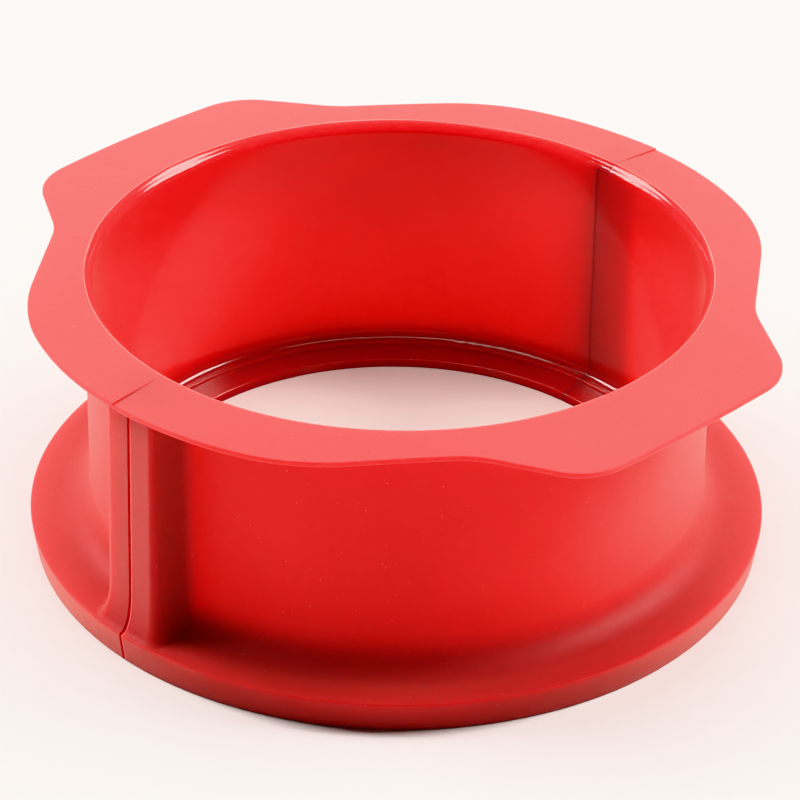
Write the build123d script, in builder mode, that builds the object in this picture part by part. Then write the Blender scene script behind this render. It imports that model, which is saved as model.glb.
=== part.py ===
"""Two-piece silicone springform cake mould on a ceramic base plate.

Frame: millimetres, +Z up, origin at the centre of the underside. +X runs along the two grip lobes and is
the way the halves pull apart. The seam between the halves lies in the YZ plane.
"""
import os
from math import cos, radians, sin, tan

from build123d import *

# ---- driving dimensions ----
height = 86.5                # table to the top inner edge of the rim
mouth_radius = 90.0          # top inner edge of the rim
wall_inner_radius = 87.5
wall_outer_radius = 90.2
seam_gap = 0.2               # between the two halves, shared equally
seam_slot_width = 1.1        # relief slot down the outside of the seam, under the rim
seam_slot_depth = 0.9
reach = 130.0                # beyond every edge of the mould

# rim flange
rim_radius = 108.2           # round part of the rim, at the seams
rim_thickness = 1.6
rim_fall = 5.0               # degrees that the rim slopes down outwards
rim_root_fillet = 3.5        # under the rim, against the wall
rim_edge_radius = 0.5
lobe_reach = 115.35          # rim edge on the X axis
lobe_corner = (113.8, 39.3)  # where the lobe's edge and its flank would meet
lobe_corner_radius = 19.0
waist_corner = (85.7, 56.1)  # where the flank turns towards the shoulder
waist_radius = 28.0
waist_reach = 101.0          # just inside the narrowest part of the rim
shoulder_angle = 57.6        # degrees from X, where the shoulder meets the round part
shoulder_radius = 60.0

# bead between the rim and the wall, two shallow facets
bead_ridge = (88.5, 85.0)
bead_foot = (wall_inner_radius, 83.3)
bead_bulge = 0.16

# base flange and the cove that joins it to the wall
flange_top = (107.9, 9.3)
flange_foot_radius = 106.5
flange_roll_bulge = 0.2
cove_radius = 10.0
cove_foot = (wall_outer_radius + cove_radius, 10.1)
cove_head = (wall_outer_radius, cove_foot[1] + cove_radius)

# groove that grips the plate, with a lip above it and a lip below it
plate_radius = 98.5
plate_bottom = 2.0
plate_thickness = 5.0
plate_edge_radius = 1.6
plate_play = 0.1             # above and below the plate
plate_rim_play = 0.3         # around the plate
lower_lip_radius = 84.0
lip_radius = 76.1
lip_edge = (77.2, 9.1)
step_top = (84.0, 11.4)
step_drop = 1.0
wall_foot = (wall_inner_radius, 11.6)
wall_foot_fillet = 2.4
groove_bottom = plate_bottom - plate_play
groove_top = plate_bottom + plate_thickness + plate_play
groove_radius = plate_radius + plate_rim_play

# closing pillars at the seams
pillar_face = 103.9          # Y of the outer face at the bottom
pillar_back = 87.9           # Y of the side buried in the wall
pillar_half_width = 10.3
pillar_corner_radius = 2.5
pillar_taper = 1.0           # degrees, narrower upwards
pillar_bottom = 7.6
pillar_top = 85.0
pillar_fillet = 3.0          # around the pillar's foot, sides and head

# inner lap and locking rib at one seam of a half, with their recess and slot at the other
lap_length = 5.0
lap_outer_radius = 89.3
lap_top = 83.2
lap_gap = 0.6                # open line above the lap
lap_tip_radius = 0.15
rib_length = 6.5
rib_near = 93.4
rib_far = 98.4
rib_bottom = 15.0
rib_top = 79.0
fit_play = 0.15


def rim_height(radius):
    """Height of the rim's top surface at a radius."""
    return height - tan(radians(rim_fall)) * (radius - mouth_radius)


def corners_at(sketch, *points):
    """The corners of a section that stand at the given radius and height."""
    return [sketch.vertices().sort_by_distance((r, z))[0] for r, z in points]


# ---- rim outline, seen from above ----
shoulder = (rim_radius * cos(radians(shoulder_angle)), rim_radius * sin(radians(shoulder_angle)))
with BuildSketch() as rim_outline:
    with BuildLine():
        Line(shoulder, waist_corner)
        Line(waist_corner, lobe_corner)
        mirror(about=Plane.XZ)
        ThreePointArc(lobe_corner, (lobe_reach, 0), (lobe_corner[0], -lobe_corner[1]))
        mirror(about=Plane.YZ)
        ThreePointArc(shoulder, (0, rim_radius), (-shoulder[0], shoulder[1]))
        ThreePointArc((shoulder[0], -shoulder[1]), (0, -rim_radius), (-shoulder[0], -shoulder[1]))
    make_face()
    for corner, radius in (
        (lobe_corner, lobe_corner_radius),
        (waist_corner, waist_radius),
        (shoulder, shoulder_radius),
    ):
        distance = Vector(*corner).length
        alike = [v for v in rim_outline.vertices() if abs(v.center().length - distance) < 0.01]
        fillet(alike, radius)

# everything outside that outline, cut away from a round rim
with BuildSketch(Plane.XY.offset(height / 2)) as rim_waste:
    Circle(reach)
    add(rim_outline.sketch_local, mode=Mode.SUBTRACT)

# ---- wall, cove, base flange and inner lips in one section ----
rim_blank_radius = lobe_reach + 5
rim_root = (wall_outer_radius, rim_height(wall_outer_radius) - rim_thickness)
with BuildSketch(Plane.XZ) as wall_section:
    with BuildLine():
        SagittaArc((mouth_radius, height), bead_ridge, -bead_bulge)
        SagittaArc(bead_ridge, bead_foot, -bead_bulge)
        Polyline(
            bead_foot,
            wall_foot,
            step_top,
            (step_top[0], step_top[1] - step_drop),
            lip_edge,
            (lip_radius, groove_top),
            (groove_radius, groove_top),
            (groove_radius, groove_bottom),
            (lower_lip_radius, groove_bottom),
            (lower_lip_radius, 0),
            (flange_foot_radius, 0),
            flange_top,
        )
        SagittaArc(flange_top, cove_foot, -flange_roll_bulge)
        RadiusArc(cove_foot, cove_head, cove_radius)
        Polyline(
            cove_head,
            rim_root,
            (rim_blank_radius, rim_height(rim_blank_radius) - rim_thickness),
            (rim_blank_radius, rim_height(rim_blank_radius)),
            (mouth_radius, height),
        )
    make_face()
    fillet(corners_at(wall_section, wall_foot), wall_foot_fillet)
    fillet(corners_at(wall_section, rim_root), rim_root_fillet)
    fillet(corners_at(wall_section, step_top, (mouth_radius, height)), 0.25)
    fillet(corners_at(wall_section, lip_edge, flange_top, (lower_lip_radius, 0)), 0.5)
    fillet(corners_at(wall_section, (flange_foot_radius, 0)), 0.8)

# ---- closing pillars, seen from above ----
with BuildSketch(Plane.XY.offset(pillar_bottom)) as pillar_plan:
    with Locations((0, pillar_face)):
        Rectangle(2 * pillar_half_width, pillar_face - pillar_back, align=(Align.CENTER, Align.MAX))
    fillet(pillar_plan.vertices().group_by(Axis.Y)[-1], pillar_corner_radius)
    mirror(about=Plane.XZ)

# ---- inner lap that bridges the seam from inside, at +Y ----
with BuildPart() as lap:
    revolve(wall_section.sketch, axis=Axis.Z)
    Cylinder(
        lap_outer_radius,
        height,
        align=(Align.CENTER, Align.CENTER, Align.MIN),
        mode=Mode.INTERSECT,
    )
    with Locations((-lap_length, 0, groove_top)):
        Box(
            lap_length + 1,
            mouth_radius,
            lap_top - groove_top,
            align=(Align.MIN, Align.MIN, Align.MIN),
            mode=Mode.INTERSECT,
        )
    tip_edges = [e for e in lap.edges() if (e @ 0.5).X < 0.01 - lap_length]
    fillet([e for e in tip_edges if e.length > 10], lap_tip_radius)

# ---- recess at -Y that takes the other half's lap ----
with BuildPart() as recess:
    with Locations((0, 0, groove_top - 1)):
        Cylinder(
            lap_outer_radius + fit_play,
            lap_top + lap_gap - groove_top + 1,
            align=(Align.CENTER, Align.CENTER, Align.MIN),
        )
    with Locations((-1, 0, 0)):
        Box(
            lap_length + fit_play + 1,
            mouth_radius,
            height,
            align=(Align.MIN, Align.MAX, Align.MIN),
            mode=Mode.INTERSECT,
        )

# ---- one half: male at its +Y end, female at its -Y end ----
with BuildPart() as front_half:
    revolve(wall_section.sketch, axis=Axis.Z)
    extrude(rim_waste.sketch, amount=height, mode=Mode.SUBTRACT)
    rim_edges = [
        e
        for e in front_half.edges()
        if e.length > 2 * rim_thickness
        and (e @ 0.5).Z > height / 2
        and Vector((e @ 0.5).X, (e @ 0.5).Y).length > waist_reach
    ]
    fillet(rim_edges, rim_edge_radius)
    extrude(pillar_plan.sketch, amount=pillar_top - pillar_bottom, taper=pillar_taper)
    split(bisect_by=Plane.YZ.offset(seam_gap / 2))
    add(recess.part, mode=Mode.SUBTRACT)
    with Locations((-1, -rib_near + fit_play, rib_bottom - fit_play)):
        Box(
            rib_length + fit_play + 1,
            rib_far - rib_near + 2 * fit_play,
            rib_top - rib_bottom + 2 * fit_play,
            align=(Align.MIN, Align.MAX, Align.MIN),
            mode=Mode.SUBTRACT,
        )
    add(lap.part)
    with Locations((-rib_length, rib_near, rib_bottom)):
        Box(
            rib_length + 1,
            rib_far - rib_near,
            rib_top - rib_bottom,
            align=(Align.MIN, Align.MIN, Align.MIN),
        )
    pillar_roots = [
        e
        for e in front_half.edges()
        if e.geom_type not in (GeomType.LINE, GeomType.CIRCLE)
        and seam_gap < (e @ 0.5).X < pillar_half_width + 1
        and wall_outer_radius - 1 < abs((e @ 0.5).Y) < flange_foot_radius
        and (e @ 0.5).Z > pillar_bottom
    ]
    fillet(pillar_roots, pillar_fillet)
    slot_face = pillar_face - seam_slot_depth
    for side in (0, 180):
        with BuildSketch(Plane.XY.rotated((0, 0, side))):
            with Locations((0, slot_face)):
                Rectangle(seam_slot_width, reach - slot_face, align=(Align.CENTER, Align.MIN))
        lean = (0, -sin(radians(pillar_taper)), cos(radians(pillar_taper)))
        extrude(
            amount=pillar_top - rim_thickness - pillar_fillet,
            dir=Vector(lean).rotate(Axis.Z, side),
            mode=Mode.SUBTRACT,
        )

with BuildPart() as rear_half:
    with Locations(Rotation(0, 0, 180)):
        add(front_half.part)

with BuildPart() as base_plate:
    with Locations((0, 0, plate_bottom)):
        Cylinder(plate_radius, plate_thickness, align=(Align.CENTER, Align.CENTER, Align.MIN))
    fillet(base_plate.edges().filter_by(GeomType.CIRCLE), plate_edge_radius)

# ---- one STEP file for each piece ----
os.makedirs("parts", exist_ok=True)
for name, piece in (
    ("front_half_wall", front_half),
    ("rear_half_wall", rear_half),
    ("base_plate", base_plate),
):
    piece.part.label = name
    export_step(piece.part, f"parts/{name}.step")
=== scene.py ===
"""Two-piece silicone springform cake mould on its ceramic plate: materials, skins, studio and camera.

Everything is in metres in the CAD frame: +Z up, origin at the centre of the underside, the two halves pull
apart along X, and the seam between them lies in the YZ plane.
"""
from math import radians, sin, sqrt, tan
from typing import NamedTuple

import bmesh
import bpy
from mathutils import Matrix, Vector


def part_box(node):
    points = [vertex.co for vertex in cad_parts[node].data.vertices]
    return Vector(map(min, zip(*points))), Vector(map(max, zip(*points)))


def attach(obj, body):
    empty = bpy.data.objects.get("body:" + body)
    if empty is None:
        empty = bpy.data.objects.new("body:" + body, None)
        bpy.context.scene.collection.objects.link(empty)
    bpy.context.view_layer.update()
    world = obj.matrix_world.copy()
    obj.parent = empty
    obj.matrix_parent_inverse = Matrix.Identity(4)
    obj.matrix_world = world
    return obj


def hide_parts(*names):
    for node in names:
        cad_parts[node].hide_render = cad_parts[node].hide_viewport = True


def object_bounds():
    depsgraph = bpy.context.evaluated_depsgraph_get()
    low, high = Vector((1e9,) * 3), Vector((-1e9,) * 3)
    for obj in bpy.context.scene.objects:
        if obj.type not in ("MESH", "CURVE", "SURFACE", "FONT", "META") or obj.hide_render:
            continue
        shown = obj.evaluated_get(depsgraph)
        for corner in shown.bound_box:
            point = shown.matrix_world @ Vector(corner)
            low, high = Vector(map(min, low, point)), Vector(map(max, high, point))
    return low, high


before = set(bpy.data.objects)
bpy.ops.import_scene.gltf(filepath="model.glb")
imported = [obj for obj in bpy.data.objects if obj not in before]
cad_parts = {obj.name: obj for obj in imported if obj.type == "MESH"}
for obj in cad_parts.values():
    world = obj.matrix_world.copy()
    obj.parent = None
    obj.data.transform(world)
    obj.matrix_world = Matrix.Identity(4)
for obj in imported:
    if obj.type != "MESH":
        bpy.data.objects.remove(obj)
cad_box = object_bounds()
table_height = cad_box[0][2]
middle_height = (cad_box[0][2] + cad_box[1][2]) / 2

# ---- the moulding, as the CAD has it ----
MOUTH_RADIUS = 0.0900
PILLAR_FACE = 0.1039          # Y of the outer face at the pillar's bottom
PILLAR_HALF_WIDTH = 0.0103
PILLAR_CORNER = 0.0025
PILLAR_BOTTOM = 0.0076
PILLAR_TAPER = radians(1.0)
RIM_UNDERSIDE = 0.0815        # below every part of the rim
RECESS_END = 0.00515          # X where the recess for the other half's lap ends
RECESS_RADIUS = 0.0897        # just outside the recess

# ---- pillar feet, which spread onto the flange in a quarter of an ellipse ----
FLARE_TOP = 0.0220
FLARE_BOTTOM = 0.0096
FLARE_REACH_FRONT = 0.0033
FLARE_REACH_SIDE = 0.0048
FLARE_STEPS = 12
FLARE_INNER = 0.0885          # Y beyond which a face can belong to a foot
FLARE_WIDTH = 0.0185          # X within which a face can belong to a foot
FLARE_SKIN = 0.00035          # depth of what counts as the pillar's surface
FLARE_MARGIN = 0.0003
CUT_TOLERANCE = 1e-5
SMOOTH_ANGLE = radians(35)
MERGE = 2e-7

# ---- uneven meeting of the halves, up or down at the outside of the rim ----
STEP_INNER = 0.0915
STEP_OUTER = 0.1080
STEP_LENGTH = 0.024
STEP_UP = 0.00035
STEP_DOWN = -0.00015
LAP_GAP = 0.00012

# ---- where each finish lies ----
CAVITY_MARGIN = 0.0004
CAVITY_LEAN = 0.35            # a face that turns outwards more than this isn't the cavity's
MOUTH_ROUNDING = 0.00016
MOUTH_EDGE_FLOOR = 0.0862
cavity_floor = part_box("base_plate")[1][2] + CAVITY_MARGIN

# ---- colours ----
SILICONE_RED = (0.45, 0.020, 0.024, 1.0)
SILICONE_DEEP = (0.43, 0.017, 0.021, 1.0)
# painted highlight: these light pinks colour the mouth's edge in place of the light that its thin rounding
# catches
PAINTED_HIGHLIGHT_PALE = (0.88, 0.42, 0.34, 1.0)
PAINTED_HIGHLIGHT_DEEP = (0.74, 0.16, 0.12, 1.0)
DUST = (0.85, 0.48, 0.42, 1.0)
SHEEN_WARM = (1.0, 0.86, 0.70, 1.0)
CERAMIC_WHITE = (0.88, 0.87, 0.85, 1.0)
CERAMIC_WARM = (0.85, 0.83, 0.80, 1.0)
FLOOR_PALE = (0.90, 0.90, 0.90, 1.0)
LAMP_WARM = (1.0, 0.97, 0.93)
WORLD_WHITE = (1.0, 1.0, 1.0, 1.0)
WORLD_STRENGTH = 0.04

# ---- silicone ----
SILICONE_IOR = 1.41
SCATTER_REACH = 0.0130        # how far red light spreads inside
SCATTER_SHARES = (1.0, 0.10, 0.10)
SHEEN_ROUGHNESS = 0.5
CLOUD_SCALE = 26.0            # slow unevenness of colour and surface
MOTTLE_SCALE = 420.0          # patches of roughness
GRAIN_SCALE = 2600.0          # the mould's blasted grain
SPECK_SCALE = 1500.0
SPECK_START = 0.78
SPECK_FULL = 0.82
WAVE_STRENGTH = 0.5

# ---- ceramic ----
GLAZE_IOR = 1.52
GLAZE_ROUGHNESS = (0.16, 0.24)
GLAZE_CLOUD_SCALE = 22.0
GLAZE_RIPPLE_SCALE = 60.0
GLAZE_RIPPLE_HEIGHT = 0.0004
GLAZE_RIPPLE_STRENGTH = 0.6


class Finish(NamedTuple):
    """What the mould and its use leave on one part of the silicone, or on the mouth's edge a painted
    highlight. Heights are in metres.
    """

    name: str
    colours: tuple
    roughness: tuple
    grain_height: float
    wave_height: float
    specular: float
    sheen: float
    dustiness: float


SATIN = Finish(
    name="red_silicone_satin",
    colours=(SILICONE_RED, SILICONE_DEEP),
    roughness=(0.54, 0.62),
    grain_height=0.00003,
    wave_height=0.0004,
    specular=0.32,
    sheen=0.28,
    dustiness=0.5,
)
POLISHED = Finish(
    name="red_silicone_polished",
    colours=(SILICONE_RED, SILICONE_DEEP),
    roughness=(0.10, 0.13),
    grain_height=0.000005,
    wave_height=0.0001,
    specular=0.5,
    sheen=0.10,
    dustiness=0.0,
)
# painted highlight on the mouth's edge: lighter colours in place of the light that the rounding catches, with
# real dust specks on top
MOUTH_PAINTED_HIGHLIGHT = Finish(
    name="red_silicone_mouth_painted_highlight",
    colours=(PAINTED_HIGHLIGHT_PALE, PAINTED_HIGHLIGHT_DEEP),
    roughness=(0.26, 0.40),
    grain_height=0.00001,
    wave_height=0.0002,
    specular=0.5,
    sheen=0.2,
    dustiness=0.8,
)
FINISHES = (SATIN, POLISHED, MOUTH_PAINTED_HIGHLIGHT)

# ---- camera ----
CAMERA_AIM = Vector((-0.001, 0.0019, 0.04))
CAMERA_DISTANCE = 1.1807
CAMERA_TURN = radians(45.4)
CAMERA_PITCH = radians(31.357)
CAMERA_ROLL = radians(0.768)
CAMERA_LENS = 181.87
CAMERA_SENSOR = 36.0

FLOOR_REACH = 4.0
FLOOR_ROUGHNESS = 0.9


# ---- materials ----
def new_material(name):
    """A material with an otherwise empty tree, the tree, and its Principled shader."""
    material = bpy.data.materials.new(name)
    material.use_nodes = True
    tree = material.node_tree
    tree.nodes.clear()
    output = tree.nodes.new("ShaderNodeOutputMaterial")
    shader = tree.nodes.new("ShaderNodeBsdfPrincipled")
    tree.links.new(shader.outputs["BSDF"], output.inputs["Surface"])
    return material, tree, shader


def noise(tree, coordinates, scale, detail):
    """A noise texture on the piece's own coordinates."""
    node = tree.nodes.new("ShaderNodeTexNoise")
    node.inputs["Scale"].default_value = scale
    node.inputs["Detail"].default_value = detail
    tree.links.new(coordinates, node.inputs["Vector"])
    return node.outputs["Fac"]


def remap(tree, value, from_low, from_high, to_low, to_high):
    """A clamped change of range."""
    node = tree.nodes.new("ShaderNodeMapRange")
    node.inputs["From Min"].default_value = from_low
    node.inputs["From Max"].default_value = from_high
    node.inputs["To Min"].default_value = to_low
    node.inputs["To Max"].default_value = to_high
    tree.links.new(value, node.inputs["Value"])
    return node.outputs["Result"]


def blend_colours(tree, share, first, second):
    """A mix of two colours, each a socket or a fixed colour."""
    node = tree.nodes.new("ShaderNodeMix")
    node.data_type = "RGBA"
    tree.links.new(share, node.inputs["Factor"])
    for name, colour in (("A", first), ("B", second)):
        socket = next(s for s in node.inputs if s.name == name and s.type == "RGBA")
        if isinstance(colour, tuple):
            socket.default_value = colour
        else:
            tree.links.new(colour, socket)
    return next(s for s in node.outputs if s.type == "RGBA")


def bump(tree, height, distance, strength=1.0, below=None):
    """A bump whose full height is the given distance in metres, on top of the bump below it."""
    node = tree.nodes.new("ShaderNodeBump")
    node.inputs["Strength"].default_value = strength
    node.inputs["Distance"].default_value = distance
    tree.links.new(height, node.inputs["Height"])
    if below is not None:
        tree.links.new(below, node.inputs["Normal"])
    return node.outputs["Normal"]


def silicone_material(finish):
    """Translucent red silicone, with the faint unevenness and the finish that its mould gives it, or with a
    painted highlight in its colours where the finish is the mouth's edge.
    """
    material, tree, shader = new_material(finish.name)
    place = tree.nodes.new("ShaderNodeTexCoord").outputs["Object"]
    cloud = noise(tree, place, CLOUD_SCALE, 3.0)
    mottle = noise(tree, place, MOTTLE_SCALE, 3.0)
    grain = noise(tree, place, GRAIN_SCALE, 2.0)
    speck = noise(tree, place, SPECK_SCALE, 1.0)

    share = remap(tree, cloud, 0.35, 0.65, 0.0, 1.0)
    dust = remap(tree, speck, SPECK_START, SPECK_FULL, 0.0, finish.dustiness)
    body_colour = blend_colours(tree, share, *finish.colours)
    tree.links.new(blend_colours(tree, dust, body_colour, DUST), shader.inputs["Base Color"])
    tree.links.new(remap(tree, mottle, 0.3, 0.7, *finish.roughness), shader.inputs["Roughness"])
    fine = bump(tree, grain, finish.grain_height)
    tree.links.new(bump(tree, cloud, finish.wave_height, WAVE_STRENGTH, fine), shader.inputs["Normal"])

    shader.inputs["IOR"].default_value = SILICONE_IOR
    shader.inputs["Specular IOR Level"].default_value = finish.specular
    shader.inputs["Subsurface Weight"].default_value = 1.0
    shader.inputs["Subsurface Radius"].default_value = SCATTER_SHARES
    shader.inputs["Subsurface Scale"].default_value = SCATTER_REACH
    shader.inputs["Sheen Weight"].default_value = finish.sheen
    shader.inputs["Sheen Roughness"].default_value = SHEEN_ROUGHNESS
    shader.inputs["Sheen Tint"].default_value = SHEEN_WARM
    return material


def ceramic_material():
    """White glazed ceramic, a little warm and uneven."""
    material, tree, shader = new_material("white_ceramic_glazed")
    place = tree.nodes.new("ShaderNodeTexCoord").outputs["Object"]
    cloud = noise(tree, place, GLAZE_CLOUD_SCALE, 3.0)
    ripple = noise(tree, place, GLAZE_RIPPLE_SCALE, 2.0)
    share = remap(tree, cloud, 0.35, 0.65, 0.0, 1.0)
    uneven = bump(tree, ripple, GLAZE_RIPPLE_HEIGHT, GLAZE_RIPPLE_STRENGTH)
    tree.links.new(blend_colours(tree, share, CERAMIC_WHITE, CERAMIC_WARM), shader.inputs["Base Color"])
    tree.links.new(remap(tree, ripple, 0.3, 0.7, *GLAZE_ROUGHNESS), shader.inputs["Roughness"])
    tree.links.new(uneven, shader.inputs["Normal"])
    shader.inputs["IOR"].default_value = GLAZE_IOR
    return material


def floor_material():
    """Plain pale matte floor."""
    material, tree, shader = new_material("floor_pale")
    shader.inputs["Base Color"].default_value = FLOOR_PALE
    shader.inputs["Roughness"].default_value = FLOOR_ROUGHNESS
    return material


# ---- which finish a face gets ----
def is_polished(face):
    """Whether a face belongs to the cavity, which the mould's core leaves glossy."""
    middle = face.calc_center_median()
    outwards = Vector((middle.x, middle.y, 0)).normalized()
    inside = middle.xy.length < MOUTH_RADIUS and middle.z > cavity_floor
    return inside and face.normal.dot(outwards) < CAVITY_LEAN


def is_mouth_edge(face):
    """Whether a face belongs to the thin rounding between the rim and the mouth, which gets a painted
    highlight in lighter colours.
    """
    middle = face.calc_center_median()
    return abs(middle.xy.length - MOUTH_RADIUS) < MOUTH_ROUNDING and middle.z > MOUTH_EDGE_FLOOR


def finish_place(face):
    """The place of a face's finish in FINISHES."""
    if is_mouth_edge(face):
        return FINISHES.index(MOUTH_PAINTED_HIGHLIGHT)
    if is_polished(face):
        return FINISHES.index(POLISHED)
    return FINISHES.index(SATIN)


# ---- finishing touches on a half's mesh ----
def pillar_distance(place, side):
    """How far a point stands out from a closing pillar's plan, and the way out of it."""
    lean = tan(PILLAR_TAPER) * (place.z - PILLAR_BOTTOM)
    across = abs(place.x) - (PILLAR_HALF_WIDTH - lean - PILLAR_CORNER)
    along = place.y * side - (PILLAR_FACE - lean - PILLAR_CORNER)
    if across > 0 and along > 0:
        way = Vector((across, along)).normalized()
        distance = Vector((across, along)).length
    elif across > along:
        way = Vector((1, 0))
        distance = across
    else:
        way = Vector((0, 1))
        distance = along
    return distance - PILLAR_CORNER, Vector((way.x * (1 if place.x > 0 else -1), way.y * side, 0))


def near_foot(face, side):
    """Whether a face belongs to the pillar on that side and reaches down to its foot."""
    corners = [v.co for v in face.verts]
    return (
        min(c.z for c in corners) < FLARE_TOP
        and min(c.y * side for c in corners) > FLARE_INNER
        and max(abs(c.x) for c in corners) < FLARE_WIDTH
    )


def cut_level(skin, side, level):
    """Cuts a foot's faces at a level, so that the flare has something to bend."""
    faces = [f for f in skin.faces if near_foot(f, side)]
    edges = {e for f in faces for e in f.edges}
    verts = {v for f in faces for v in f.verts}
    bmesh.ops.bisect_plane(
        skin,
        geom=[*verts, *edges, *faces],
        dist=CUT_TOLERANCE,
        plane_co=(0, 0, level),
        plane_no=(0, 0, 1),
    )


def flare_feet(skin):
    """Spreads the pillars' feet onto the flange in a quarter of an ellipse, and tags what it moves."""
    rise = FLARE_TOP - FLARE_BOTTOM
    for side in (1, -1):
        for step in range(FLARE_STEPS + 1):
            cut_level(skin, side, FLARE_TOP - rise * sin(radians(90) * step / FLARE_STEPS))
        for vertex in skin.verts:
            place = vertex.co
            if place.y * side < FLARE_INNER or not FLARE_BOTTOM - FLARE_MARGIN < place.z < FLARE_TOP:
                continue
            distance, way = pillar_distance(place, side)
            share = min(1.0, (FLARE_TOP - place.z) / rise)
            reach = FLARE_REACH_FRONT + (FLARE_REACH_SIDE - FLARE_REACH_FRONT) * abs(way.x)
            wanted = reach * (1 - sqrt(1 - share * share))
            if -FLARE_SKIN < distance < wanted:
                vertex.co = place + way * (wanted - distance)
                vertex.tag = True


def step_rim(skin, lift):
    """Lifts or lowers the outer rim beside the seams, where the two halves don't quite meet level."""
    for vertex in skin.verts:
        radius = vertex.co.xy.length
        if vertex.co.z < RIM_UNDERSIDE or radius < STEP_INNER or abs(vertex.co.x) > STEP_LENGTH:
            continue
        outwards = min(1.0, (radius - STEP_INNER) / (STEP_OUTER - STEP_INNER))
        fading = (1 - abs(vertex.co.x) / STEP_LENGTH) ** 2
        vertex.co.z += lift * outwards * fading


def close_lap(skin):
    """Brings the recess's end up to the other half's lap, which presses against it."""
    for vertex in skin.verts:
        place = vertex.co
        at_end = abs(abs(place.x) - RECESS_END) < LAP_GAP / 4
        if at_end and place.x * place.y < 0 and place.xy.length < RECESS_RADIUS:
            place.x -= LAP_GAP * (1 if place.x > 0 else -1)


def finished_half(node, body, lift):
    """Replaces a half with its finished skin, which keeps the moulding's normals where it isn't changed."""
    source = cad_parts[node].data
    mesh = source.copy()
    mesh.name = node + "_skin"
    mesh.materials.clear()
    for material in silicone:
        mesh.materials.append(material)

    normals = [corner.vector.copy() for corner in source.corner_normals]
    skin = bmesh.new()
    skin.from_mesh(mesh)
    kept = skin.loops.layers.float_vector.new("moulded_normal")
    for face in skin.faces:
        for loop in face.loops:
            loop[kept] = normals[loop.index]
    bmesh.ops.remove_doubles(skin, verts=skin.verts, dist=MERGE)

    for vertex in skin.verts:
        vertex.tag = False
    flare_feet(skin)
    step_rim(skin, lift)
    close_lap(skin)
    skin.normal_update()

    for face in skin.faces:
        face.material_index = finish_place(face)
        if any(v.tag for v in face.verts):
            for loop in face.loops:
                loop[kept] = (0, 0, 0)
    for edge in skin.edges:
        if any(v.tag for f in edge.link_faces for v in f.verts):
            edge.smooth = edge.is_manifold and edge.calc_face_angle(0) < SMOOTH_ANGLE
    skin.to_mesh(mesh)
    skin.free()

    carried = mesh.attributes["moulded_normal"]
    wanted = [0.0] * (3 * len(mesh.loops))
    carried.data.foreach_get("vector", wanted)
    mesh.attributes.remove(carried)
    mesh.normals_split_custom_set([wanted[i : i + 3] for i in range(0, len(wanted), 3)])

    piece = bpy.data.objects.new(node + "_skin", mesh)
    bpy.context.scene.collection.objects.link(piece)
    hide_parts(node)
    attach(piece, body)


# ---- studio ----
def lay_floor():
    """A wide level floor that the mould stands on."""
    corners = ((-1, -1), (1, -1), (1, 1), (-1, 1))
    mesh = bpy.data.meshes.new("floor")
    places = [(x * FLOOR_REACH, y * FLOOR_REACH, table_height) for x, y in corners]
    mesh.from_pydata(places, [], [(0, 1, 2, 3)])
    mesh.materials.append(floor_material())
    floor = bpy.data.objects.new("floor", mesh)
    bpy.context.scene.collection.objects.link(floor)


def place_camera():
    """A long lens, well above the mould and between a grip lobe and a seam."""
    facing = (
        Matrix.Rotation(CAMERA_TURN, 4, "Z")
        @ Matrix.Rotation(radians(90) - CAMERA_PITCH, 4, "X")
        @ Matrix.Rotation(CAMERA_ROLL, 4, "Z")
    )
    camera = bpy.data.objects.new("camera", bpy.data.cameras.new("camera"))
    camera.data.lens = CAMERA_LENS
    camera.data.sensor_width = CAMERA_SENSOR
    stand_off = Matrix.Translation((0, 0, CAMERA_DISTANCE))
    camera.matrix_world = Matrix.Translation(CAMERA_AIM) @ facing @ stand_off
    bpy.context.scene.collection.objects.link(camera)
    bpy.context.scene.camera = camera


def softbox(name, right, back, up, width, depth, watts):
    """A rectangular softbox that points at the mould, placed to the right, back and up as the camera sees."""
    data = bpy.data.lights.new(name, "AREA")
    data.shape = "RECTANGLE"
    data.size = width
    data.size_y = depth
    data.energy = watts
    data.color = LAMP_WARM
    lamp = bpy.data.objects.new(name, data)
    place = Matrix.Rotation(CAMERA_TURN, 3, "Z") @ Vector((right, back, up))
    target = Vector((0, 0, middle_height))
    lamp.location = place
    lamp.rotation_euler = (target - place).to_track_quat("-Z", "Y").to_euler()
    bpy.context.scene.collection.objects.link(lamp)


def light_world():
    """A faint white surround."""
    world = bpy.data.worlds.new("studio")
    bpy.context.scene.world = world
    world.use_nodes = True
    background = world.node_tree.nodes["Background"]
    background.inputs["Color"].default_value = WORLD_WHITE
    background.inputs["Strength"].default_value = WORLD_STRENGTH


# ---- the mould ----
silicone = [silicone_material(finish) for finish in FINISHES]
ceramic = ceramic_material()
finished_half("front_half_wall", "front_half", STEP_DOWN)
finished_half("rear_half_wall", "rear_half", STEP_UP)
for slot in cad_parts["base_plate"].material_slots:
    slot.material = ceramic

# ---- its surroundings ----
place_camera()
lay_floor()
softbox("overhead", right=-0.1, back=0.35, up=1.5, width=1.1, depth=0.9, watts=21.5)
softbox("key_left", right=-1.3, back=0.40, up=1.0, width=0.7, depth=0.7, watts=42.0)
softbox("fill_right", right=1.3, back=0.22, up=1.0, width=0.7, depth=0.7, watts=44.0)
softbox("back_panel", right=0.0, back=1.8, up=1.05, width=2.2, depth=0.7, watts=23.0)
light_world()
bpy.context.scene.view_settings.view_transform = "Khronos PBR Neutral"
